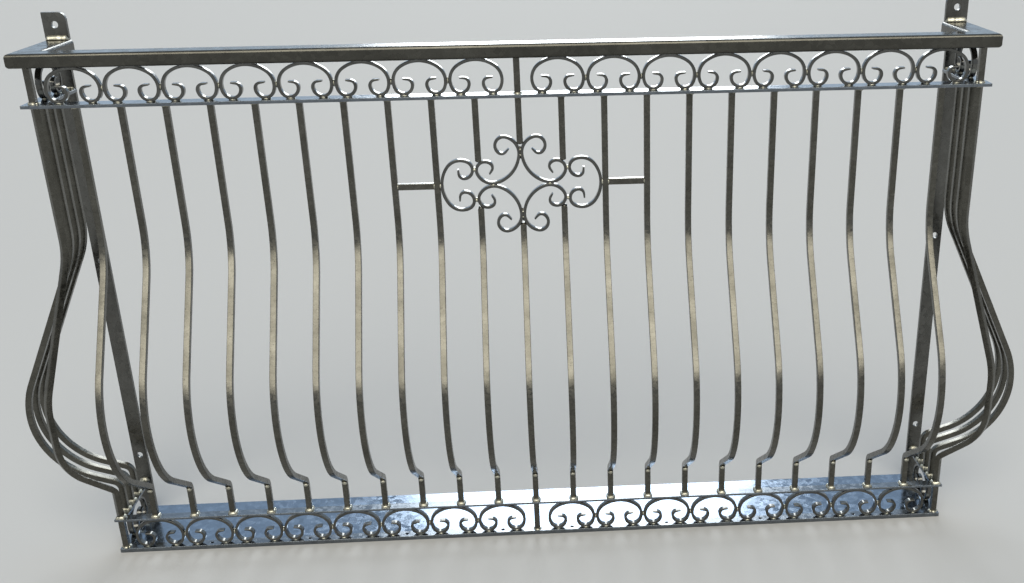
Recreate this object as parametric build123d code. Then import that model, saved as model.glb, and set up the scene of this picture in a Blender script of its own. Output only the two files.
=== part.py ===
from build123d import *
import math
import os

# Bow-fronted Juliet balcony of welded and galvanised steel bar, in millimetres.
# X runs along the wall, Y into the wall and Z up, and the wall's face is the plane Y = 0.
# The pieces are drawn about the middle of the balcony, and put() moves them so that X = 0 is
# the centre line of the left wall plate.

# Driving dimensions
HALF_SPAN = 1200          # middle of the balcony to the centre line of a wall plate
DEPTH = 240               # wall to the centre line of the front bars
BAR = 16                  # square bar of the uprights
FRONT_BARS = 21           # uprights between the two corners of the front
CORNER_BAY = 100          # corner to the first of them, centre to centre
SIDE_BAR_DEPTHS = (90, 140, 190)
HANDRAIL_TOP = 1415       # above the underside of the base
HANDRAIL = (70, 35)       # width and height of the hollow rail
HANDRAIL_CORNER = 9
UPPER_RAIL = (50, 8)      # flats, laid flat
LOWER_RAIL = (30, 6)
BASE_RAIL = (30, 12)
BAND_HEIGHT = 90          # clear height of the rows of scrolls above and below the bars
FLOOR_THICK = 4
DRAIN_HOLE = 10
PLATE = (40, 12)          # flat that stands on the wall under the handrail, width and thickness
LUG = (60, 12, 70)        # wider piece over the handrail, with its height
LUG_CORNER = 18           # its top corner towards the middle
FIXING_HOLE = 18
LUG_HOLE = 31             # below the top of the lug
LOW_HOLES_Z = (196, 811)
SEAT = 0.2                # clearance where a round face rests on another piece
FLATNESS = 1.2            # most that a flat of a bent bar may stand inside its arc

# Belly of the bars: straight from the shoulder, round the belly, back to the neck
SHOULDER_Z = 898
NECK_Z = 196
BELLY_RADIUS = 240
NECK_RADIUS = 24
# how far it stands out, the highest and lowest level at which it does, and the radius below them
FRONT_BELLY = (240, 490, 490, 240)
SIDE_BELLY = (210, 410, 410, 200)
CORNER_BELLY = (132, 470, 380, 150)

# Scrolls, bent from flat bar on edge
SCROLL_BAR = (8, 16)      # thickness, and width along the view through the railing
SCROLL_TIP = 4
SCROLL_GAP = 3            # between neighbours, bridged by a weld
BAND_END_GAP = 25.5       # between the last scroll and a post
SCROLLS_PER_HALF = 8
MOTIF_Z = 1056
MOTIF_SCROLL = (0.6557, 0.4226)     # width and height, as shares of half the motif
MOTIF_TURNS = (231, 306)    # of the upper and lower scroll of the left half

# Levels that follow from them
base_top = BASE_RAIL[1]
lower_rail_z = base_top + BAND_HEIGHT
bars_foot = lower_rail_z + LOWER_RAIL[1]
handrail_z = HANDRAIL_TOP - HANDRAIL[1]
upper_rail_z = handrail_z - BAND_HEIGHT - UPPER_RAIL[1]
bar_pitch = 2 * (HALF_SPAN - CORNER_BAY) / (FRONT_BARS - 1)
plate_top = HANDRAIL_TOP + LUG[2]
half_band = HALF_SPAN - BAR - 2 * BAND_END_GAP
scroll_pitch = (half_band + SCROLL_GAP) / SCROLLS_PER_HALF
scroll_width = scroll_pitch - SCROLL_GAP


def put(name, *solids):
    """Writes a node's solids, moved to the row's frame."""
    moved = [Pos(HALF_SPAN, 0, 0) * solid for solid in solids]
    export_step(moved[0] if len(moved) == 1 else Compound(children=moved), f"parts/{name}.step")


def left_and_right(solid):
    """A piece and its mirror image on the other side of the balcony."""
    return mirror(solid, about=Plane.YZ), solid


def strip(start, heading, moves, thick):
    """Face of a bar bent in its own plane, along moves of (size, turn, end thickness).

    A move with no turn is straight and size long. Any other is an arc of that radius, turning
    by so many degrees to the left, and is made in flats. The third value, if there is one,
    thins the bar on the way.
    """
    x, y = start
    angle = math.radians(heading)
    left, right = [], []

    def mark(x, y, angle, thick):
        across = thick / 2 * math.sin(angle), thick / 2 * math.cos(angle)
        left.append((x - across[0], y + across[1]))
        right.append((x + across[0], y - across[1]))

    mark(x, y, angle, thick)
    for size, turn, *thinned in moves:
        end_thick = thinned[0] if thinned else thick
        if turn:
            widest_flat = 2 * math.acos(1 - FLATNESS / (size + thick / 2))
            flats = math.ceil(math.radians(abs(turn)) / widest_flat)
            radius = math.copysign(size, turn)
            swing = math.radians(turn) / flats
        else:
            flats = 1
        for i in range(flats):
            if turn:
                x += radius * (math.sin(angle + swing) - math.sin(angle))
                y -= radius * (math.cos(angle + swing) - math.cos(angle))
                angle += swing
            else:
                x += size * math.cos(angle)
                y += size * math.sin(angle)
            mark(x, y, angle, thick + (end_thick - thick) * (i + 1) / flats)
        thick = end_thick
    return make_face(Polyline(*left, *reversed(right), close=True))


def upright(place, outward):
    """Plane whose x runs outward and whose y runs up, at a place on plan."""
    out = Vector(*outward)
    return Plane(origin=(*place, 0), x_dir=out, z_dir=out.cross(Vector(0, 0, 1)))


# Wall plates: a flat under the handrail and a lug on top of it, with their fixing holes

def fixing_hole(z):
    """What is drilled out at a height."""
    return Pos(HALF_SPAN, 0, z) * Rot(90, 0, 0) * Cylinder(FIXING_HOLE / 2, 3 * PLATE[1])


plate = Pos(HALF_SPAN, -PLATE[1] / 2, handrail_z / 2) * Box(*PLATE, handrail_z)
for z in LOW_HOLES_Z:
    plate -= fixing_hole(z)
lug = Pos(HALF_SPAN, -LUG[1] / 2, HANDRAIL_TOP + LUG[2] / 2) * Box(*LUG)
inner_corner = lug.edges().filter_by(Axis.Y).group_by(Axis.Z)[-1].sort_by(Axis.X)[0]
lug = fillet(inner_corner, LUG_CORNER)
lug -= fixing_hole(plate_top - LUG_HOLE)


# Rails: one round the front and both sides at each level, mitred at the corners

def rails(section, z, back, corner=0):
    """Left, front and right rail of a level, which ends at the Y called back."""
    width, tall = section
    near, far = DEPTH - width / 2, DEPTH + width / 2
    inner, outer = HALF_SPAN - width / 2, HALF_SPAN + width / 2
    front_plan = Polygon((-outer, -far), (outer, -far), (inner, -near), (-inner, -near), align=None)
    side_plan = Polygon((inner, -near), (outer, -far), (outer, back), (inner, back), align=None)
    front = Pos(0, 0, z) * extrude(front_plan, tall, dir=(0, 0, 1))
    side = Pos(0, 0, z) * extrude(side_plan, tall, dir=(0, 0, 1))
    if corner:
        front = fillet(front.edges().filter_by(Axis.X), corner)
        side = fillet(side.edges().filter_by(Axis.Y), corner)
    left, right = left_and_right(side)
    return left, front, right


# Uprights, with a belly that stands out over the street

def tangent(drop, offset, radius):
    """Lean of the straight from a corner to a belly's arc, and its length."""
    distance = math.hypot(drop, offset)
    lean = math.atan2(offset, drop) + math.asin(radius / distance)
    return math.degrees(lean), math.sqrt(distance**2 - radius**2)


def bellied_bar(place, outward, belly):
    """A square bar from the lower rail to the upper one."""
    stand_out, high, low, low_radius = belly
    upper_lean, upper_run = tangent(SHOULDER_Z - high, stand_out - BELLY_RADIUS, BELLY_RADIUS)
    lower_lean, lower_run = tangent(low - NECK_Z, stand_out - low_radius, low_radius)
    neck = NECK_RADIUS * math.tan(math.radians(lower_lean) / 2)
    shoulder = BELLY_RADIUS * math.tan(math.radians(upper_lean) / 2)
    moves = [
        (NECK_Z - neck - bars_foot, 0),
        (NECK_RADIUS, -lower_lean),
        (lower_run - neck, 0),
        (low_radius, lower_lean),
        (high - low, 0),
        (BELLY_RADIUS, upper_lean),
        (upper_run - shoulder, 0),
        (BELLY_RADIUS, -upper_lean),
        (upper_rail_z - SHOULDER_Z - shoulder, 0),
    ]
    moves = [move for move in moves if move[0]]
    face = strip((0, bars_foot), 90, moves, BAR)
    return extrude(upright(place, outward) * face, BAR / 2, both=True)


def post(x, low, high):
    """A straight piece of the same square bar, in the plane of the front."""
    return Pos(x, -DEPTH, (low + high) / 2) * Box(BAR, BAR, high - low)


# Scrolls: a C whose ends curl inwards, all bent on one former

def scroll_face(width, height):
    """A C-scroll on its own plane, back up, with x = 0 in the middle and its feet on y = 0.

    The back has a wide arc over the crown and a tighter one round each shoulder. Their radii
    follow from the width and the height, once the curl's size is chosen.
    """
    thick = SCROLL_BAR[0]
    crown_turn, shoulder_turn, curl_turn, tip_turn = 35, 80, 155, 85
    curl = 0.255 * height
    sin_crown, cos_crown = math.sin(math.radians(crown_turn)), math.cos(math.radians(crown_turn))
    sin_past = math.sin(math.radians(crown_turn + shoulder_turn - 90))
    across = (width - thick) / 2
    down = height - thick - curl * (1 - sin_past)
    # crown * sin_crown + shoulder * (1 - sin_crown) = across
    # crown * (1 - cos_crown) + shoulder * (cos_crown + sin_past) = down
    spread = sin_crown * (cos_crown + sin_past) - (1 - sin_crown) * (1 - cos_crown)
    crown = (across * (cos_crown + sin_past) - down * (1 - sin_crown)) / spread
    shoulder = (down * sin_crown - across * (1 - cos_crown)) / spread
    moves = [
        (crown, crown_turn),
        (shoulder, shoulder_turn),
        (curl, 180 - crown_turn - shoulder_turn),
        (curl, crown_turn + shoulder_turn + curl_turn - 180),
        (0.6 * curl, tip_turn, 0.75 * thick),
        (0.5 * curl, 0, SCROLL_TIP),
    ]
    half = strip((0, height - thick / 2), 180, moves, thick)
    return half + mirror(half, about=Plane.YZ)


def standing_scroll(place, outward, z):
    """A scroll of a band, its feet on one rail and its crown under the next."""
    face = Pos(0, z + SEAT) * scroll_face(scroll_width, BAND_HEIGHT - 2 * SEAT)
    return extrude(upright(place, outward) * face, SCROLL_BAR[1] / 2, both=True)


def front_band(z):
    """The row of scrolls across the front, half of it on each side of the middle post."""
    middle = HALF_SPAN / 2
    places = [middle + (i - (SCROLLS_PER_HALF - 1) / 2) * scroll_pitch for i in range(SCROLLS_PER_HALF)]
    return [standing_scroll((side * x, -DEPTH), (1, 0, 0), z) for side in (-1, 1) for x in places]


def side_band(z):
    """One scroll on each side, between the wall plate and the corner post."""
    y = -(DEPTH - BAR / 2 + PLATE[1]) / 2
    return [standing_scroll((side * HALF_SPAN, y), (0, -side, 0), z) for side in (-1, 1)]


# Motif of six scrolls, set between the ninth and the thirteenth bar

half_motif = 2 * bar_pitch - BAR / 2


def turned_scroll(turn, right=None, left=None, low=None, high=None):
    """A scroll of the motif on the front plane, moved until its outline meets the edges given."""
    width, height = (share * half_motif for share in MOTIF_SCROLL)
    face = Rot(0, 0, turn) * scroll_face(width, height)
    box = face.bounding_box()
    dx = left - box.min.X if right is None else right - box.max.X
    if low is not None:
        dy = low - box.min.Y
    elif high is not None:
        dy = high - box.max.Y
    else:
        dy = MOTIF_Z - (box.min.Y + box.max.Y) / 2
    return Pos(dx, dy) * face


def reach(face, x, side):
    """Height of a turned scroll's highest (side 1) or lowest (side -1) point under or over a bar."""
    under = (face & Pos(x, MOTIF_Z) * Rectangle(BAR, BELLY_RADIUS)).bounding_box()
    return under.max.Y + SEAT if side > 0 else under.min.Y - SEAT


front_plane = upright((0, -DEPTH), (1, 0, 0))
upper_face = turned_scroll(MOTIF_TURNS[0], right=-SEAT / 2, low=MOTIF_Z + SEAT / 2)
lower_face = turned_scroll(MOTIF_TURNS[1], right=-SEAT / 2, high=MOTIF_Z - SEAT / 2)
outer_face = turned_scroll(90, left=SEAT - half_motif)
upper_scroll, lower_scroll, outer_scroll = (
    extrude(front_plane * face, SCROLL_BAR[1] / 2, both=True)
    for face in (upper_face, lower_face, outer_face)
)


# Nodes

os.makedirs("parts", exist_ok=True)

plates = zip(left_and_right(plate), left_and_right(lug))
for name, pieces in zip(("left", "right"), plates):
    put(f"wall_plate_{name}", *pieces)

levels = {
    "handrail": rails(HANDRAIL, handrail_z, 0, HANDRAIL_CORNER),
    "upper_rail": rails(UPPER_RAIL, upper_rail_z, -PLATE[1]),
    "lower_rail": rails(LOWER_RAIL, lower_rail_z, -PLATE[1]),
}
base = rails(BASE_RAIL, 0, -PLATE[1])
drain_places = [HALF_SPAN / 2 + (i - (SCROLLS_PER_HALF - 1) / 2) * scroll_pitch for i in (0, 2, 4, 6)]
base_front = base[1]
for x in drain_places:
    for side in (-1, 1):
        base_front -= Pos(side * x, -DEPTH, base_top / 2) * Cylinder(DRAIN_HOLE / 2, 2 * base_top)
levels["base_rail"] = (base[0], base_front, base[2])
for name, (left, front, right) in levels.items():
    put(f"{name}_left", left)
    put(f"{name}_front", front)
    put(f"{name}_right", right)

# The floor sheet fills the base frame and runs on between the wall plates to the wall.
edge = HALF_SPAN - BASE_RAIL[0] / 2
notch = HALF_SPAN - PLATE[0] / 2
front_edge = DEPTH - BASE_RAIL[0] / 2
half_floor = [(0, -front_edge), (edge, -front_edge), (edge, -PLATE[1]), (notch, -PLATE[1]), (notch, 0), (0, 0)]
floor = extrude(Polygon(*half_floor, align=None), FLOOR_THICK, dir=(0, 0, 1))
floor += mirror(floor, about=Plane.YZ)
put("floor_plate", Pos(0, 0, base_top - FLOOR_THICK) * floor)

band_floor = upper_rail_z + UPPER_RAIL[1]
for level, low, high in (("top", band_floor, handrail_z), ("bottom", base_top, lower_rail_z)):
    put(f"{level}_corner_posts", post(-HALF_SPAN, low, high), post(HALF_SPAN, low, high))
    put(f"{level}_middle_post", post(0, low, high))
    put(f"{level}_scrolls_front", *front_band(low))
    put(f"{level}_scrolls_sides", *side_band(low))

slant = math.sqrt(0.5)
for name, side in (("left", -1), ("right", 1)):
    corner = bellied_bar((side * HALF_SPAN, -DEPTH), (side * slant, -slant, 0), CORNER_BELLY)
    put(f"corner_bar_{name}", corner)
    bars = [bellied_bar((side * HALF_SPAN, -y), (side, 0, 0), SIDE_BELLY) for y in SIDE_BAR_DEPTHS]
    put(f"side_bars_{name}", *bars)

# Bars of the front by their place from the middle: the middle three stop at the motif.
half_bars = range(2, (FRONT_BARS + 1) // 2)
bar = bellied_bar((0, -DEPTH), (0, -1, 0), FRONT_BELLY)
put("front_bars_left", *[Pos(-i * bar_pitch, 0, 0) * bar for i in half_bars])
put("front_bars_right", *[Pos(i * bar_pitch, 0, 0) * bar for i in half_bars])

stubs, short_bars = [], []
for i in (-1, 0, 1):
    x = -abs(i) * bar_pitch
    stubs.append(post(i * bar_pitch, reach(upper_face, x, 1), upper_rail_z))
    cut = Plane.XY.offset(reach(lower_face, x, -1))
    short_bars.append(split(Pos(i * bar_pitch, 0, 0) * bar, bisect_by=cut, keep=Keep.BOTTOM))
put("motif_top_stubs", *stubs)
put("front_bars_middle", *short_bars)
put("motif_top_scrolls", *left_and_right(upper_scroll))
put("motif_bottom_scrolls", *left_and_right(lower_scroll))
put("motif_side_scrolls", *left_and_right(outer_scroll))

tie = Pos(2.5 * bar_pitch, -DEPTH, MOTIF_Z) * Box(bar_pitch - BAR, BAR, BAR)
put("motif_ties", *left_and_right(tie))

print("built")
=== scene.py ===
import math

import bmesh
import bpy
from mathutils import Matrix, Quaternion, Vector, noise


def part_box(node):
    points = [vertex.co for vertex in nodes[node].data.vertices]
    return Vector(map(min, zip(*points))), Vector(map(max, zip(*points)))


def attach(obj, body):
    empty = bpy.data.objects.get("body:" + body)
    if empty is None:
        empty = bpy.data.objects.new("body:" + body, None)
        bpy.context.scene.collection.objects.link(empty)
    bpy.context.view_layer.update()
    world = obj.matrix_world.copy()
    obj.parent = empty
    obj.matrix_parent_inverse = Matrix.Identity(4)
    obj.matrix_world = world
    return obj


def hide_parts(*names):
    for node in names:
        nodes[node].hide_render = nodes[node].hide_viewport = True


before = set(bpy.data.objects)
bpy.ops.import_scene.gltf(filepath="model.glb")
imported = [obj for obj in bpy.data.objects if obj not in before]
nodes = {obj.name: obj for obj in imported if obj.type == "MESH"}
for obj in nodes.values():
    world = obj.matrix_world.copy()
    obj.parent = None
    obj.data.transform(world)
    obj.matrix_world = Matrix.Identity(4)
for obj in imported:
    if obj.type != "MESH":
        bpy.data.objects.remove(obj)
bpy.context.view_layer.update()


# Base frame
#
# Three lengths of 30 by 12 flat bar, mitred and welded at the front corners, with drain holes
# through the front one. The whole balcony was dipped in molten zinc after it was welded, so
# every piece has the same coat: crystals of zinc, cloudy patches, pin marks and soft edges.

MIDDLE = 1.2                # X of the middle of the balcony; its corners are at 0 and twice that
FRONT_Y = -0.24             # centre line of the front
BASE_TOP = 0.012            # top of the base frame and of the floor sheet


def add(tree, kind, values=(), **settings):
    """A shader node; each of its values is a number, a colour or the output that feeds it."""
    node = tree.nodes.new("ShaderNode" + kind)
    for name, value in settings.items():
        setattr(node, name, value)
    for name, value in dict(values).items():
        if isinstance(value, bpy.types.NodeSocket):
            tree.links.new(value, node.inputs[name])
        else:
            node.inputs[name].default_value = value
    return node


def ramp(tree, value, low, high, first, last):
    """A value between low and high, spread from first to last and held there beyond them."""
    return add(tree, "MapRange", {0: value, 1: low, 2: high, 3: first, 4: last}).outputs[0]


def share_of(tree, value, share, rest=0.0):
    """A share of one value on top of another."""
    return add(
        tree, "Math", {0: value, 1: share, 2: rest}, operation="MULTIPLY_ADD"
    ).outputs[0]


def mixed(tree, amount, under, over):
    """One colour laid over another in the amount given."""
    return add(tree, "Mix", {0: amount, 6: under, 7: over}, data_type="RGBA").outputs[2]


def new_group(name, takes, gives):
    """An empty node group with named inputs and outputs."""
    kinds = {"colour": "NodeSocketColor", "number": "NodeSocketFloat", "vector": "NodeSocketVector"}
    group = bpy.data.node_groups.new(name, "ShaderNodeTree")
    for label, kind, value in takes:
        socket = group.interface.new_socket(label, in_out="INPUT", socket_type=kinds[kind])
        socket.default_value = value
    for label, kind in gives:
        group.interface.new_socket(label, in_out="OUTPUT", socket_type=kinds[kind])
    given = group.nodes.new("NodeGroupInput").outputs
    return group, given, group.nodes.new("NodeGroupOutput").inputs


def make_zinc_coat():
    """Zinc as it comes from the bath: crystals, each with its own tone, and clouds of dull zinc."""
    group, given, out = new_group(
        "zinc coat",
        [
            ("Bright", "colour", (0.6, 0.6, 0.6, 1)),
            ("Dull", "colour", (0.4, 0.4, 0.4, 1)),
            ("Crystals per metre", "number", 90),
            ("Clouds per metre", "number", 9),
            ("Roughness", "number", 0.34),
        ],
        [("Colour", "colour"), ("Roughness", "number"), ("Height", "number")],
    )
    place = add(group, "TexCoord").outputs["Object"]
    frost = add(group, "TexNoise", {"Vector": place, "Scale": 70, "Detail": 3})
    nudge = add(
        group, "VectorMath", {0: frost.outputs["Color"], 1: (0.012,) * 3}, operation="MULTIPLY"
    ).outputs[0]
    feathered = add(group, "VectorMath", {0: place, 1: nudge}, operation="ADD").outputs[0]
    crystals = add(group, "TexVoronoi", {"Vector": feathered, "Scale": given["Crystals per metre"]})
    tone = add(group, "SeparateColor", {"Color": crystals.outputs["Color"]}).outputs["Red"]
    seams = add(
        group, "TexVoronoi", {"Vector": feathered, "Scale": given["Crystals per metre"]},
        feature="DISTANCE_TO_EDGE",
    )
    seam = ramp(group, seams.outputs["Distance"], 0.0, 0.09, 1.0, 0.0)
    drifts = add(
        group, "TexNoise",
        {"Vector": place, "Scale": given["Clouds per metre"], "Detail": 6, "Roughness": 0.62},
    )
    cloud = ramp(group, drifts.outputs["Fac"], 0.3, 0.7, 0.0, 1.0)
    grit = add(group, "TexNoise", {"Vector": place, "Scale": 260, "Detail": 2})
    pin = ramp(group, grit.outputs["Fac"], 0.66, 0.74, 0.0, 1.0)
    grain = add(group, "TexNoise", {"Vector": place, "Scale": 1100, "Detail": 2}).outputs["Fac"]

    body = mixed(group, cloud, given["Dull"], given["Bright"])
    lift = ramp(group, tone, 0.0, 1.0, 0.9, 1.09)
    toned = add(group, "VectorMath", {0: body, "Scale": lift}, operation="SCALE").outputs[0]
    marks = share_of(group, seam, 0.16, share_of(group, pin, 0.5))
    group.links.new(mixed(group, marks, toned, (0.05, 0.047, 0.04, 1)), out["Colour"])

    sheen = share_of(group, tone, 0.14, given["Roughness"])
    matt = share_of(group, cloud, -0.1, sheen)
    group.links.new(share_of(group, pin, 0.25, matt), out["Roughness"])

    height = share_of(group, drifts.outputs["Fac"], 1.3)
    height = share_of(group, crystals.outputs["Distance"], 0.16, height)
    height = share_of(group, frost.outputs["Fac"], 0.5, height)
    height = share_of(group, pin, -0.12, height)
    height = share_of(group, grain, 0.05, height)
    group.links.new(height, out["Height"])
    return group


def make_zinc_ripple():
    """Zinc that ran as it froze: thin dark bands and shallow waves across the length of a bar."""
    group, given, out = new_group(
        "zinc ripple",
        [
            ("Colour", "colour", (0.6, 0.6, 0.6, 1)),
            ("Height", "number", 0.0),
            ("Waves", "vector", (25.0, 25.0, 110.0)),
            ("Depth", "number", 0.35),
        ],
        [("Colour", "colour"), ("Height", "number")],
    )
    place = add(group, "TexCoord").outputs["Object"]
    drawn = add(group, "VectorMath", {0: place, 1: given["Waves"]}, operation="MULTIPLY").outputs[0]
    waves = add(
        group, "TexNoise", {"Vector": drawn, "Scale": 1.0, "Detail": 4, "Roughness": 0.7}
    ).outputs["Fac"]
    band = ramp(group, waves, 0.52, 0.66, 0.0, 1.0)
    dark = share_of(group, band, given["Depth"])
    group.links.new(mixed(group, dark, given["Colour"], (0.045, 0.042, 0.035, 1)), out["Colour"])
    group.links.new(share_of(group, waves, 0.5, given["Height"]), out["Height"])
    return group


zinc_coat = make_zinc_coat()
zinc_ripple = make_zinc_ripple()


def zinc(
    name, bright, dull, crystals, clouds, roughness, relief, waves=None, depth=0, edge=0.0012
):
    """A galvanised finish.

    Crystals, clouds and waves are counted per metre, the waves of its ripple along x, y and z.
    Relief is the height of its unevenness, depth the strength of its ripple, and edge the
    radius that sharp edges are softened by.
    """
    finish = bpy.data.materials.new(name)
    finish.use_nodes = True
    tree = finish.node_tree
    shader = tree.nodes["Principled BSDF"]
    coat = add(tree, "Group", node_tree=zinc_coat)
    coat.inputs["Bright"].default_value = (*bright, 1)
    coat.inputs["Dull"].default_value = (*dull, 1)
    coat.inputs["Crystals per metre"].default_value = crystals
    coat.inputs["Clouds per metre"].default_value = clouds
    coat.inputs["Roughness"].default_value = roughness
    colour, height = coat.outputs["Colour"], coat.outputs["Height"]
    if waves:
        ripple = add(tree, "Group", node_tree=zinc_ripple)
        tree.links.new(colour, ripple.inputs["Colour"])
        tree.links.new(height, ripple.inputs["Height"])
        ripple.inputs["Waves"].default_value = waves
        ripple.inputs["Depth"].default_value = depth
        colour, height = ripple.outputs["Colour"], ripple.outputs["Height"]
    bump = add(tree, "Bump", {"Height": height, "Distance": relief, "Strength": 1.0})
    if edge:
        soft = add(tree, "Bevel", {"Radius": edge}, samples=4)
        tree.links.new(soft.outputs[0], bump.inputs["Normal"])
    tree.links.new(colour, shader.inputs["Base Color"])
    tree.links.new(coat.outputs["Roughness"], shader.inputs["Roughness"])
    tree.links.new(bump.outputs[0], shader.inputs["Normal"])
    shader.inputs["Metallic"].default_value = 0.96
    return finish


def coat_nodes(finish, *names):
    """Gives carried-over pieces their finish."""
    for name in names:
        mesh = nodes[name].data
        mesh.materials.clear()
        mesh.materials.append(finish)


# the blue in the rails' colour is a painted reflection of the sky; the zinc's own colour is grey
rail_zinc = zinc(
    "rail zinc", bright=(0.2, 0.223, 0.25), dull=(0.152, 0.171, 0.194), crystals=95, clouds=11,
    roughness=0.16, relief=0.00012, waves=(12, 50, 50), depth=0.08, edge=0.002,
)
coat_nodes(rail_zinc, "base_rail_left", "base_rail_front", "base_rail_right")


# Floor sheet
#
# A 4 mm sheet that fills the base frame and runs back to the wall between the two plates.
# It is welded flush with the top of the base frame, and its coat has the widest crystals.

# its blue is a painted reflection of the sky; the zinc's own colour is grey
sheet_zinc_painted_sky = zinc(
    "sheet zinc painted sky", bright=(0.21, 0.26, 0.325), dull=(0.175, 0.22, 0.285), crystals=60, clouds=6,
    roughness=0.12, relief=0.00008,
)
coat_nodes(sheet_zinc_painted_sky, "floor_plate")


# Bottom band of scrolls
#
# Sixteen C-scrolls across the front and one at each side, bent from 16 by 8 flat on one
# former, their ends thinned and curled in. They stand between posts of 16 mm square bar and
# are welded at their feet, at their crown and to each other.

BAR = 0.016                 # posts and uprights, and the width of the scrolls' flat
BAR_EDGE = 0.0013           # radius of a drawn bar's edges
SEAT = 0.0002               # clearance of a scroll from its rails
SCROLL_THICK = 0.008
SCROLL_TIP = 0.004
BAND_HEIGHT = 0.09
SCROLL_WIDTH = 0.139
SCROLL_PITCH = 0.142
SCROLLS_PER_HALF = 8
SIDE_SCROLL_Y = -0.122
# half sizes of the weld beads along the row, through it and up
FOOT_BEAD = (0.0118, 0.0092, 0.0034)
CROWN_BEAD = (0.011, 0.0088, 0.0024)
SHOULDER_BEAD = (0.0032, 0.0085, 0.0085)
POST_WELDS = ((0, 0.006), (MIDDLE, 0.0035), (2 * MIDDLE, 0.006))    # X and size at the foot
POST_HEAD_WELD = 0.003

scroll_zinc = zinc(
    "scroll zinc", bright=(0.15, 0.15, 0.143), dull=(0.098, 0.098, 0.092), crystals=110, clouds=14,
    roughness=0.13, relief=0.00025, waves=(70, 40, 70), depth=0.15, edge=0,
)
# weld metal under a duller coat, coloured far lighter and creamier than the rest: a painted
# highlight
weld_zinc_painted_highlight = zinc(
    "weld zinc painted highlight", bright=(0.56, 0.545, 0.46), dull=(0.4, 0.385, 0.31), crystals=160, clouds=40,
    roughness=0.3, relief=0.0006, edge=0,
)
bar_zinc = zinc(
    "bar zinc", bright=(0.132, 0.128, 0.112), dull=(0.086, 0.083, 0.071), crystals=120, clouds=12,
    roughness=0.25, relief=0.00025, waves=(30, 30, 95), depth=0.25, edge=0,
)
post_zinc = zinc(
    "post zinc", bright=(0.132, 0.128, 0.114), dull=(0.086, 0.083, 0.072), crystals=120, clouds=12,
    roughness=0.25, relief=0.00025, waves=(30, 30, 95), depth=0.2,
)


def bend(start, heading, moves, thick, step=0.004):
    """Stations (x, y, heading, thickness) along a bar bent in one plane.

    A move is (size, turn, end thickness): with no turn a straight of that length, and
    otherwise an arc of that radius through so many degrees to the left.
    """
    x, y = start
    angle = math.radians(heading)
    stations = [(x, y, angle, thick)]
    for size, turn, *thinned in moves:
        end_thick = thinned[0] if thinned else thick
        swing = math.radians(turn)
        pieces = 1
        if turn:
            pieces = max(2, math.ceil(abs(swing) * size / step), math.ceil(abs(turn) / 9))
        radius = math.copysign(size, turn)
        for i in range(1, pieces + 1):
            if turn:
                along = angle + swing * i / pieces
                px = x + radius * (math.sin(along) - math.sin(angle))
                py = y - radius * (math.cos(along) - math.cos(angle))
            else:
                along = angle
                px, py = x + size * math.cos(angle), y + size * math.sin(angle)
            stations.append((px, py, along, thick + (end_thick - thick) * i / pieces))
        x, y, angle, thick = px, py, along, end_thick
    return stations


def skin(mesh, stations, place, outward, wide):
    """Lays a bar with rounded edges over its stations, whose x runs outward and y runs up."""
    out = Vector(outward)
    up = Vector((0, 0, 1))
    side = out.cross(up)
    origin = Vector(place)
    rings = []
    for x, y, angle, thick in stations:
        centre = origin + out * x + up * y
        normal = out * -math.sin(angle) + up * math.cos(angle)
        ring = []
        for quarter in range(4):
            for part in range(3):
                turn = math.radians(90 * quarter + 45 * part)
                flip_n = 1 if quarter in (0, 1) else -1
                flip_s = 1 if quarter in (0, 3) else -1
                n = flip_n * (thick / 2 - BAR_EDGE) + BAR_EDGE * math.sin(turn)
                s = flip_s * (wide / 2 - BAR_EDGE) + BAR_EDGE * math.cos(turn)
                ring.append(mesh.verts.new(centre + normal * n + side * s))
        rings.append(ring)
    for ring, after in zip(rings, rings[1:]):
        for i in range(12):
            j = (i + 1) % 12
            mesh.faces.new((ring[i], ring[j], after[j], after[i]))
    for cap in (rings[0], rings[-1][::-1]):
        mesh.faces.new(cap)


def scroll_stations(width, height):
    """A C-scroll from tip to tip, its back up, x = 0 in the middle and its feet on y = 0."""
    thick = SCROLL_THICK
    crown_turn, shoulder_turn, curl_turn, tip_turn = 35, 80, 155, 85
    curl = 0.255 * height
    sin_crown = math.sin(math.radians(crown_turn))
    cos_crown = math.cos(math.radians(crown_turn))
    sin_past = math.sin(math.radians(crown_turn + shoulder_turn - 90))
    across = (width - thick) / 2
    down = height - thick - curl * (1 - sin_past)
    spread = sin_crown * (cos_crown + sin_past) - (1 - sin_crown) * (1 - cos_crown)
    crown = (across * (cos_crown + sin_past) - down * (1 - sin_crown)) / spread
    shoulder = (down * sin_crown - across * (1 - cos_crown)) / spread
    half = bend((0, height - thick / 2), 180, [
        (crown, crown_turn),
        (shoulder, shoulder_turn),
        (curl, 180 - crown_turn - shoulder_turn),
        (curl, crown_turn + shoulder_turn + curl_turn - 180),
        (0.6 * curl, tip_turn, 0.75 * thick),
        (0.5 * curl, 0, SCROLL_TIP),
    ], thick)
    return [(-x, y, -angle, t) for x, y, angle, t in half[:0:-1]] + half


def finish_piece(mesh, name, finish, replaced=()):
    """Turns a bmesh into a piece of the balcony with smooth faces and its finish."""
    bmesh.ops.recalc_face_normals(mesh, faces=mesh.faces)
    for face in mesh.faces:
        face.smooth = len(face.verts) < 12      # only the cut end of a bar has twelve corners
        if not face.smooth:
            for line in face.edges:
                line.smooth = False
    data = bpy.data.meshes.new(name)
    mesh.to_mesh(data)
    mesh.free()
    data.materials.append(finish)
    piece = bpy.data.objects.new(name, data)
    bpy.context.scene.collection.objects.link(piece)
    even = piece.modifiers.new("even faces", "WEIGHTED_NORMAL")
    even.keep_sharp = True
    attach(piece, "root")
    if replaced:
        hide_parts(*replaced)


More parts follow.
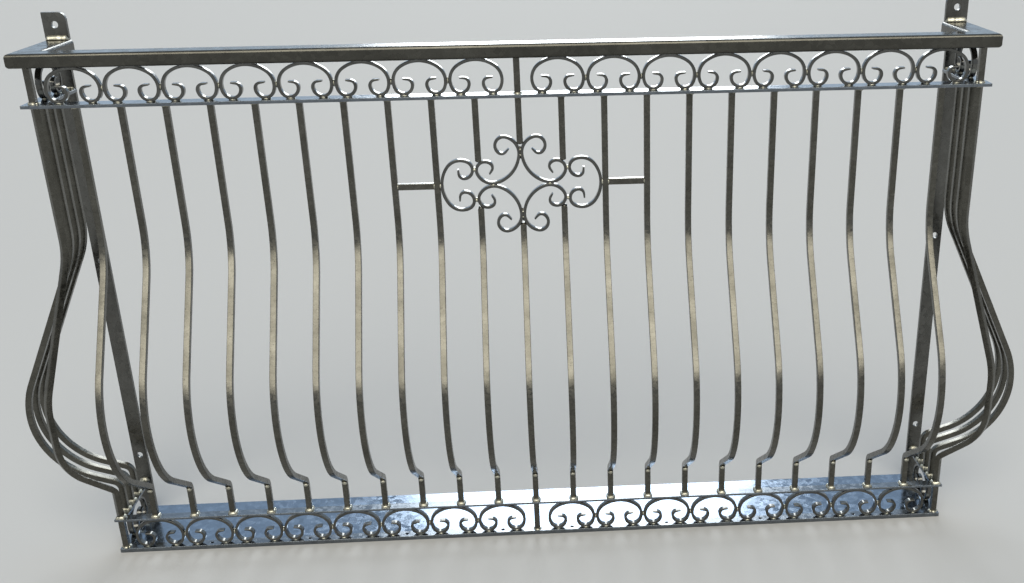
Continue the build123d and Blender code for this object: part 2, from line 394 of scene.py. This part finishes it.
def bead(mesh, place, size):
    """A lump of weld metal under zinc, of half sizes along x, y and z."""
    centre = Vector(place)
    for vert in bmesh.ops.create_icosphere(mesh, subdivisions=2, radius=1)["verts"]:
        swell = 1 + 0.22 * noise.noise(vert.co * 1.6 + centre * 90)
        vert.co = centre + Vector([swell * c * s for c, s in zip(vert.co, size)])


band_scroll = scroll_stations(SCROLL_WIDTH, BAND_HEIGHT - 2 * SEAT)
foot_x = min(band_scroll, key=lambda s: s[1])[0]
shoulder_z = max(band_scroll, key=lambda s: s[0])[1]
half_places = [
    MIDDLE / 2 + (i - (SCROLLS_PER_HALF - 1) / 2) * SCROLL_PITCH for i in range(SCROLLS_PER_HALF)
]
band_places = sorted(MIDDLE + side * x for x in half_places for side in (-1, 1))


def band_of_scrolls(level, floor):
    """The row of a level: its front scrolls, its side scrolls and the welds that hold them."""
    front = bmesh.new()
    for x in band_places:
        skin(front, band_scroll, (x, FRONT_Y, floor + SEAT), (1, 0, 0), BAR)
    finish_piece(
        front, f"{level}_scroll_row", scroll_zinc, [f"{level}_scrolls_front"]
    )
    sides = bmesh.new()
    for x in (0, 2 * MIDDLE):
        skin(sides, band_scroll, (x, SIDE_SCROLL_Y, floor + SEAT), (0, 1, 0), BAR)
    finish_piece(
        sides, f"{level}_side_scrolls", scroll_zinc, [f"{level}_scrolls_sides"]
    )

    welds = bmesh.new()
    top = floor + BAND_HEIGHT
    foot_z, crown_z = floor + 0.0012, top - 0.001
    for x in band_places:
        for side in (-1, 1):
            bead(welds, (x + side * abs(foot_x), FRONT_Y, foot_z), FOOT_BEAD)
        bead(welds, (x, FRONT_Y, crown_z), CROWN_BEAD)
    for x, after in zip(band_places, band_places[1:]):
        if after - x < SCROLL_PITCH * 1.1:      # not across the middle post
            bead(welds, ((x + after) / 2, FRONT_Y, floor + shoulder_z), SHOULDER_BEAD)
    for x in (0, 2 * MIDDLE):
        for side in (-1, 1):
            along, through, up = FOOT_BEAD
            bead(welds, (x, SIDE_SCROLL_Y + side * abs(foot_x), foot_z), (through, along, up))
        along, through, up = CROWN_BEAD
        bead(welds, (x, SIDE_SCROLL_Y, crown_z), (through, along, up))
    out, wide = BAR / 2 - SEAT, BAR / 2 + 0.0005
    for x, foot_weld in POST_WELDS:
        for z, thick in ((floor, foot_weld), (top, POST_HEAD_WELD)):
            for side in (-1, 1):
                bead(welds, (x + side * out, FRONT_Y, z), (thick + 0.001, wide, thick))
                bead(welds, (x, FRONT_Y + side * out, z), (wide, thick + 0.001, thick))
    finish_piece(welds, f"{level}_band_welds", weld_zinc_painted_highlight)


band_of_scrolls("bottom", BASE_TOP)
coat_nodes(post_zinc, "bottom_corner_posts", "bottom_middle_post")


# Lower rail
#
# A 30 by 6 flat laid over the bottom band, mitred at the corners and welded to the wall plates.
# The uprights stand on it.

LOWER_RAIL_TOP = 0.108
coat_nodes(rail_zinc, "lower_rail_left", "lower_rail_front", "lower_rail_right")


# Uprights
#
# Square 16 mm bars, twenty-one across the front, one on each corner and three on each side.
# Each was bent on a former to its belly, and welded all round at its foot and under the
# upper rail, with a heavier bead on the side that shows.

UPPER_RAIL_UNDER = 1.282
SHOULDER_Z = 0.898          # where a bar leaves its upper straight
BELLY_RADIUS = 0.24         # of the shoulder and of the belly's upper half
NECK_RADIUS = 0.024
# how far out, highest and lowest level of the widest part, radius below it, level of the neck
FRONT_BELLY = (0.24, 0.49, 0.49, 0.24, 0.205)
SIDE_BELLY = (0.21, 0.41, 0.41, 0.2, 0.196)
CORNER_BELLY = (0.132, 0.47, 0.38, 0.15, 0.196)
BAR_PITCH = 0.11
SIDE_PLACES = (-0.09, -0.14, -0.19)     # Y of the three bars of a side
# half sizes of the weld beads along x, y and z
FOOT_LUMP = (0.0125, 0.0062, 0.007)
SIDE_FOOT_LUMP = (0.0064, 0.0122, 0.0074)
NECK_LUMP = (0.0076, 0.004, 0.0056)
BAR_END_LUMP = (0.0082, 0.0086, 0.0045)


def tangent(drop, offset, radius):
    """Lean of the straight from a corner to a belly's arc, and its length."""
    distance = math.hypot(drop, offset)
    lean = math.atan2(offset, drop) + math.asin(radius / distance)
    return math.degrees(lean), math.sqrt(distance**2 - radius**2)


def belly_stations(stand_out, high, low, low_radius, neck_z):
    """A bar from the lower rail to the upper one, round its belly."""
    upper_lean, upper_run = tangent(
        SHOULDER_Z - high, stand_out - BELLY_RADIUS, BELLY_RADIUS
    )
    lower_lean, lower_run = tangent(low - neck_z, stand_out - low_radius, low_radius)
    neck = NECK_RADIUS * math.tan(math.radians(lower_lean) / 2)
    shoulder = BELLY_RADIUS * math.tan(math.radians(upper_lean) / 2)
    moves = [
        (neck_z - neck - LOWER_RAIL_TOP, 0),
        (NECK_RADIUS, -lower_lean),
        (lower_run - neck, 0),
        (low_radius, lower_lean),
        (high - low, 0),
        (BELLY_RADIUS, upper_lean),
        (upper_run - shoulder, 0),
        (BELLY_RADIUS, -upper_lean),
        (UPPER_RAIL_UNDER - SHOULDER_Z - shoulder, 0),
    ]
    return bend((0, LOWER_RAIL_TOP), 90, [move for move in moves if move[0]], BAR, step=0.009)


def cut_under(stations, level):
    """The stations of a bar that is cut off square at a level on its upper straight."""
    kept = [s for s in stations if s[1] < level]
    last = stations[len(kept)]
    before = kept[-1]
    share = (level - before[1]) / (last[1] - before[1])
    return kept + [tuple(a + (b - a) * share for a, b in zip(before, last))]


def weld_collar(mesh, place, reach, tall, side=1):
    """A lumpy weld all round the end of a bar; side is 1 on top of a rail and -1 under one."""
    half = BAR / 2
    corners = [(half, -half), (half, half), (-half, half), (-half, -half)]
    path = []
    for a, b in zip(corners, corners[1:] + corners[:1]):
        path += [(a[0] + (b[0] - a[0]) * i / 5, a[1] + (b[1] - a[1]) * i / 5) for i in range(5)]
    rings = []
    centre = Vector(place)
    for px, py in path:
        edge = Vector((px, py, 0))
        out = edge.normalized()
        lump = noise.noise(edge * 150 + centre * 31)
        ring = []
        for deg in (0, 25, 50, 75, 90):
            away = math.cos(math.radians(deg)) * reach * (1 + 0.35 * lump)
            high = math.sin(math.radians(deg)) * tall * (1 + 0.45 * lump)
            ring.append(mesh.verts.new(centre + edge + out * away + Vector((0, 0, side * high))))
        rings.append(ring)
    for ring, after in zip(rings, rings[1:] + rings[:1]):
        for i in range(4):
            mesh.faces.new((ring[i], after[i], after[i + 1], ring[i + 1]))


front_bar = belly_stations(*FRONT_BELLY)
side_bar = belly_stations(*SIDE_BELLY)
corner_bar = belly_stations(*CORNER_BELLY)
half_bars = [i * BAR_PITCH for i in range(2, 11)]

for name, side in (("left", -1), ("right", 1)):
    mesh = bmesh.new()
    for x in half_bars:
        skin(mesh, front_bar, (MIDDLE + side * x, FRONT_Y, 0), (0, -1, 0), BAR)
    finish_piece(mesh, f"front_uprights_{name}", bar_zinc, [f"front_bars_{name}"])
    mesh = bmesh.new()
    for y in SIDE_PLACES:
        skin(mesh, side_bar, (MIDDLE + side * MIDDLE, y, 0), (side, 0, 0), BAR)
    finish_piece(mesh, f"side_uprights_{name}", bar_zinc, [f"side_bars_{name}"])
    mesh = bmesh.new()
    slant = math.sqrt(0.5)
    skin(mesh, corner_bar, (MIDDLE + side * MIDDLE, FRONT_Y, 0), (side * slant, -slant, 0), BAR)
    finish_piece(mesh, f"corner_upright_{name}", bar_zinc, [f"corner_bar_{name}"])


def bar_end(node, x, highest):
    """Height at which a carried-over bar ends, at its top or at its foot."""
    heights = [v.co.z for v in nodes[node].data.vertices if abs(v.co.x - x) < BAR]
    return max(heights) if highest else min(heights)


mesh = bmesh.new()
for i in (-1, 0, 1):
    x = MIDDLE + i * BAR_PITCH
    top = bar_end("front_bars_middle", x, True)
    skin(mesh, cut_under(front_bar, top), (x, FRONT_Y, 0), (0, -1, 0), BAR)
    bead(mesh, (x, FRONT_Y, top), BAR_END_LUMP)
finish_piece(mesh, "middle_uprights", bar_zinc, ["front_bars_middle"])

mesh = bmesh.new()
front_feet = [MIDDLE + i * BAR_PITCH for i in range(-10, 11)]
feet = [(x, FRONT_Y) for x in front_feet]
feet += [(x, y) for x in (0, 2 * MIDDLE) for y in (*SIDE_PLACES, FRONT_Y)]
for x, y in feet:
    weld_collar(mesh, (x, y, LOWER_RAIL_TOP), reach=0.0054, tall=0.0072)
    weld_collar(mesh, (x, y, UPPER_RAIL_UNDER), reach=0.0038, tall=0.0042, side=-1)
foot_out = BAR / 2 + 0.0015     # from a bar's centre line to the heavier bead at its foot
for x in front_feet:
    bead(mesh, (x, FRONT_Y - foot_out, LOWER_RAIL_TOP + 0.0026), FOOT_LUMP)
    bead(mesh, (x, FRONT_Y - foot_out - 0.001, FRONT_BELLY[4] - foot_out), NECK_LUMP)
for side in (-1, 1):
    for y in (*SIDE_PLACES, FRONT_Y):
        place = (MIDDLE + side * (MIDDLE - foot_out), y, LOWER_RAIL_TOP + 0.003)
        bead(mesh, place, SIDE_FOOT_LUMP)
finish_piece(mesh, "upright_welds", weld_zinc_painted_highlight)


# Upper rail
#
# A 50 by 8 flat laid on the heads of the uprights, mitred at the corners and welded to the
# wall plates like the lower one. The top band stands on it.

UPPER_RAIL_TOP = 1.29
coat_nodes(rail_zinc, "upper_rail_left", "upper_rail_front", "upper_rail_right")


# Top band of scrolls
#
# The same row of scrolls and posts again, from the same former, welded between the upper
# rail and the handrail.

band_of_scrolls("top", UPPER_RAIL_TOP)
coat_nodes(post_zinc, "top_corner_posts", "top_middle_post")


# Handrail
#
# A 70 by 35 hollow section with rounded edges, mitred at both corners, its welds ground flat
# before the dip. Its darker colour than the other pieces is painted shade, with long dull clouds
# along it.

handrail_zinc_painted_shade = zinc(
    "handrail zinc painted shade", bright=(0.1, 0.097, 0.085), dull=(0.068, 0.066, 0.057), crystals=70, clouds=5,
    roughness=0.22, relief=0.0003, waves=(6, 50, 50), depth=0.1, edge=0,
)
coat_nodes(handrail_zinc_painted_shade, "handrail_left", "handrail_front", "handrail_right")


# Motif
#
# Six scrolls from the same former, turned and welded into a lozenge in the middle of the
# front. Short stubs hold it under the upper rail, the three middle bars stop under it, and a
# short tie on each side braces the bars next to it.

MOTIF_Z = 1.056             # middle of the lozenge
HALF_MOTIF = 2 * BAR_PITCH - BAR / 2    # from the middle to the face of the next full bar
MOTIF_SCROLL = (0.6557 * HALF_MOTIF, 0.4226 * HALF_MOTIF)
# half sizes of the weld beads along x, y and z
STUB_END_LUMP = (0.0082, 0.0086, 0.0042)
BACK_FILL = (0.0052, 0.0084, 0.018)
SCROLL_LUMP = (0.0066, 0.0096, 0.0062)
BACK_LUMP = (0.0058, 0.0092, 0.0034)
OUTER_LUMP = (0.0046, 0.0094, 0.0095)
TIE_LUMP = (0.0038, 0.0094, 0.0095)

motif_scroll = scroll_stations(*MOTIF_SCROLL)


def turned(stations, degrees):
    """A scroll turned in its own plane."""
    turn = math.radians(degrees)
    c, s = math.cos(turn), math.sin(turn)
    return [(x * c - y * s, x * s + y * c, angle + turn, t) for x, y, angle, t in stations]


def edge_box(stations):
    """Lowest and highest x and y of the outline of a bent bar."""
    xs, ys = [], []
    for x, y, angle, t in stations:
        for side in (-t / 2, t / 2):
            xs.append(x - math.sin(angle) * side)
            ys.append(y + math.cos(angle) * side)
    return min(xs), max(xs), min(ys), max(ys)


left_scrolls = []
turns = {"motif_top_scrolls": 231, "motif_bottom_scrolls": 306, "motif_side_scrolls": 90}
for node, degrees in turns.items():
    low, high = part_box(node)
    drawn = turned(motif_scroll, degrees)
    x0, _, z0, z1 = edge_box(drawn)
    dx = low.x - MIDDLE - x0
    dz = (low.z + high.z) / 2 - (z0 + z1) / 2
    left = [(x + dx, z + dz, angle, t) for x, z, angle, t in drawn]
    right = [(-x, z, math.pi - angle, t) for x, z, angle, t in left]
    left_scrolls.append(left)
    mesh = bmesh.new()
    for stations in (left, right):
        skin(mesh, stations, (MIDDLE, FRONT_Y, 0), (1, 0, 0), BAR)
    finish_piece(mesh, node.replace("motif", "lozenge"), scroll_zinc, [node])

mesh = bmesh.new()
for i in (-1, 0, 1):
    x = MIDDLE + i * BAR_PITCH
    foot = bar_end("motif_top_stubs", x, False)
    stub = [(0, foot, math.pi / 2, BAR), (0, UPPER_RAIL_UNDER, math.pi / 2, BAR)]
    skin(mesh, stub, (x, FRONT_Y, 0), (0, -1, 0), BAR)
    bead(mesh, (x, FRONT_Y, foot - 0.0005), STUB_END_LUMP)
top_left, bottom_left, outer_left = left_scrolls
back_levels = [max(scroll, key=lambda s: s[0])[1] for scroll in (top_left, bottom_left)]
for z in back_levels:
    bead(mesh, (MIDDLE, FRONT_Y, z), BACK_FILL)
finish_piece(mesh, "lozenge_stubs", bar_zinc, ["motif_top_stubs"])
mesh = bmesh.new()
for side in (-1, 1):
    x = MIDDLE + side * 2.5 * BAR_PITCH
    half = (BAR_PITCH - BAR) / 2
    tie = [(x - half, MOTIF_Z, 0, BAR), (x + half, MOTIF_Z, 0, BAR)]
    skin(mesh, tie, (0, FRONT_Y, 0), (1, 0, 0), BAR)
finish_piece(mesh, "lozenge_ties", bar_zinc, ["motif_ties"])


def where_they_meet(first, second):
    """Middle of the narrowest place between two bent bars."""
    pairs = ((a, b) for a in first for b in second)
    a, b = min(pairs, key=lambda pair: math.dist(pair[0][:2], pair[1][:2]))
    return (a[0] + b[0]) / 2, (a[1] + b[1]) / 2


mesh = bmesh.new()
for pair in ((top_left, outer_left), (bottom_left, outer_left), (top_left, bottom_left)):
    x, z = where_they_meet(*pair)
    for side in (-1, 1):
        bead(mesh, (MIDDLE + side * x, FRONT_Y, z), SCROLL_LUMP)
for z in back_levels:
    for lift in (-0.006, 0.009):
        bead(mesh, (MIDDLE, FRONT_Y, z + lift), BACK_LUMP)
for side in (-1, 1):
    x, z = min(outer_left, key=lambda s: s[0])[:2]
    bead(mesh, (MIDDLE + side * (x - SCROLL_THICK / 2), FRONT_Y, z), OUTER_LUMP)
    for x in (2 * BAR_PITCH + BAR / 2, 3 * BAR_PITCH - BAR / 2):
        bead(mesh, (MIDDLE + side * x, FRONT_Y, MOTIF_Z), TIE_LUMP)
finish_piece(mesh, "lozenge_welds", weld_zinc_painted_highlight)


# Wall plates
#
# On each side a 40 by 12 flat stands against the wall and all the rails are welded to it. A
# wider lug stands on the end of the handrail, held by one thick run of weld. Three 18 mm holes
# take the wall anchors.

PLATE_FACE = -0.012         # Y of the face that the rails are welded to
HANDRAIL_TOP = 1.415
LUG_HALF = 0.03
LOWER_RAIL_UNDER = 0.102
# level, way up or down, half length and height of the runs where the flat rails end
RAIL_RUNS = (
    (UPPER_RAIL_TOP, 1, 0.019, 0.006),
    (UPPER_RAIL_UNDER, -1, 0.019, 0.006),
    (LOWER_RAIL_TOP, 1, 0.0145, 0.0115),
    (LOWER_RAIL_UNDER, -1, 0.0145, 0.006),
)

plate_zinc = zinc(
    "plate zinc", bright=(0.15, 0.149, 0.14), dull=(0.1, 0.099, 0.092), crystals=75, clouds=8,
    roughness=0.26, relief=0.0004, waves=(25, 25, 12), depth=0.12, edge=0.002,
)
coat_nodes(plate_zinc, "wall_plate_left", "wall_plate_right")


def weld_run(mesh, x, half, z, way, reach, tall):
    """A smooth level run of weld on the plate's face, over or under the rail that ends there."""
    start, end = Vector((x - half, PLATE_FACE, z)), Vector((x + half, PLATE_FACE, z))
    out, up = Vector((0, -1, 0)), Vector((0, 0, way))
    rings = []
    steps = max(6, math.ceil((end - start).length / 0.003))
    for i in range(steps + 1):
        place = start.lerp(end, i / steps)
        round_end = math.sin(math.pi * min(1, (i + 0.4) / 3, (steps - i + 0.4) / 3) / 2)
        swell = round_end * (1 + 0.1 * noise.noise(place * 140))
        ring = [mesh.verts.new(place - out * 0.001 - up * 0.001)]
        for deg in range(0, 91, 15):
            away = out * reach * swell * math.cos(math.radians(deg))
            high = up * tall * swell * math.sin(math.radians(deg))
            ring.append(mesh.verts.new(place + away + high))
        rings.append(ring)
    for ring, after in zip(rings, rings[1:]):
        for i in range(len(ring)):
            j = (i + 1) % len(ring)
            mesh.faces.new((ring[i], after[i], after[j], ring[j]))
    for cap in (rings[0][::-1], rings[-1]):
        mesh.faces.new(cap)


mesh = bmesh.new()
for x in (0, 2 * MIDDLE):
    weld_run(mesh, x, LUG_HALF, HANDRAIL_TOP, 1, reach=0.0095, tall=0.0125)
    for z, way, half, tall in RAIL_RUNS:
        weld_run(mesh, x, half, z, way, reach=0.9 * tall, tall=tall)
finish_piece(mesh, "plate_welds", weld_zinc_painted_highlight)


# Floor, light and camera
#
# A plain pale floor under soft light: one wide lamp over the front, one wide cool one behind,
# three narrower ones behind, one above the other, and an even sky.

FLOOR_SIZE = 120
FLOOR_Z = -0.0006           # just under the base frame

bpy.ops.mesh.primitive_plane_add(size=FLOOR_SIZE, location=(MIDDLE, 0, FLOOR_Z))
ground = bpy.context.object
ground.name = "pale_floor"
paint = bpy.data.materials.new("pale floor")
paint.use_nodes = True
paint_shader = paint.node_tree.nodes["Principled BSDF"]
paint_shader.inputs["Base Color"].default_value = (0.54, 0.545, 0.555, 1)
paint_shader.inputs["Roughness"].default_value = 0.9
paint_shader.inputs["Specular IOR Level"].default_value = 0.1
ground.data.materials.append(paint)

world = bpy.data.worlds.new("even sky")
bpy.context.scene.world = world
world.use_nodes = True
sky = world.node_tree.nodes["Background"]
sky.inputs["Color"].default_value = (0.9, 0.95, 1, 1)
seen_by = add(world.node_tree, "LightPath").outputs
seen = seen_by["Is Camera Ray"]
for ray in ("Is Glossy Ray", "Is Transmission Ray"):
    seen = add(world.node_tree, "Math", {0: seen, 1: seen_by[ray]}, operation="MAXIMUM").outputs[0]
# dimmer as light on the object than where the sky itself or its mirror image is seen
strength = ramp(world.node_tree, seen, 0.0, 1.0, 0.2, 0.55)
world.node_tree.links.new(strength, sky.inputs["Strength"])


def soft_lamp(name, turn, height, width, strength, colour):
    """A soft far light by its bearing from the front, its height and its width in degrees."""
    lamp = bpy.data.lights.new(name, "SUN")
    lamp.angle = math.radians(width)
    lamp.energy = strength
    lamp.color = colour
    stand = bpy.data.objects.new(name, lamp)
    bpy.context.scene.collection.objects.link(stand)
    turn, height = math.radians(turn), math.radians(height)
    level = math.cos(height)
    source = Vector((math.sin(turn) * level, -math.cos(turn) * level, math.sin(height)))
    stand.location = 6 * source     # metres; for such a light only its direction counts
    stand.rotation_mode = "QUATERNION"
    stand.rotation_quaternion = source.to_track_quat("Z", "Y")


soft_lamp("front_lamp", 0, 47, 52, 2.55, (1.0, 0.95, 0.82))
soft_lamp("rear_lamp", 170, 32, 90, 0.55, (0.3, 0.63, 1.0))
for row, height in (("low", 8), ("middle", 25), ("high", 42)):
    soft_lamp(f"rear_strip_{row}", 178.5, height, 18, 0.58, (0.94, 0.98, 1.0))

camera = bpy.data.cameras.new("camera")
camera.sensor_fit = "HORIZONTAL"
camera.sensor_width = 36
camera.lens = 41.31
camera.shift_x = -0.1055
camera.shift_y = 0.0962
eye = bpy.data.objects.new("camera", camera)
bpy.context.scene.collection.objects.link(eye)
yaw, pitch, roll = 0.0622, 0.4169, 0.0126
level = math.cos(pitch)
ahead = Vector((math.sin(yaw) * level, math.cos(yaw) * level, -math.sin(pitch)))
eye.location = (1.2616, -3.2925, 1.8067)
eye.rotation_mode = "QUATERNION"
eye.rotation_quaternion = Quaternion(ahead, roll) @ ahead.to_track_quat("-Z", "Y")
bpy.context.scene.camera = eye
bpy.context.scene.view_settings.view_transform = "Standard"
